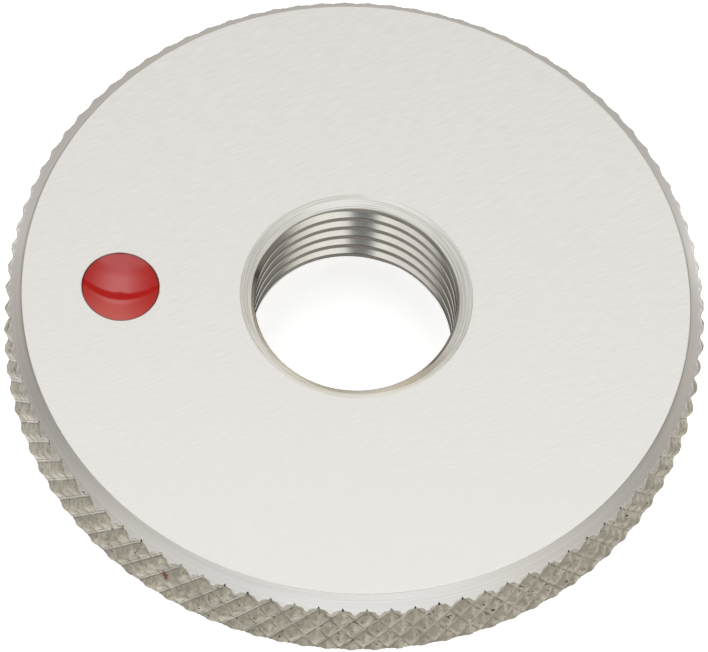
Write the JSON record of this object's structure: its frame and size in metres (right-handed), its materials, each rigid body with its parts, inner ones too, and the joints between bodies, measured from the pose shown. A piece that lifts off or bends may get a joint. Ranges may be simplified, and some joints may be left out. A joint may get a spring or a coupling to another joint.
{
  "type": "thread ring gauge",
  "caption": "Solid steel thread ring gauge: a flat ring with a diamond-knurled rim, a fine threaded bore and a red enamel mark, screwed onto a male thread to check its size.",
  "frame": {"origin": "on the bore's axis, in the plane of the underside", "axes": "+Z along the bore's axis, out of the marked upper face; the red mark lies towards -X"},
  "size_m": [0.038, 0.038, 0.006],
  "materials": {
    "ground_steel": "hardened steel: ground flat faces, turned chamfers, dull knurled rim",
    "red_enamel": "glossy red enamel, set hollow in its pocket"
  },
  "bodies": {
    "root": {"gauge_ring": "ground_steel", "red_mark": "red_enamel"}
  },
  "joints": []
}
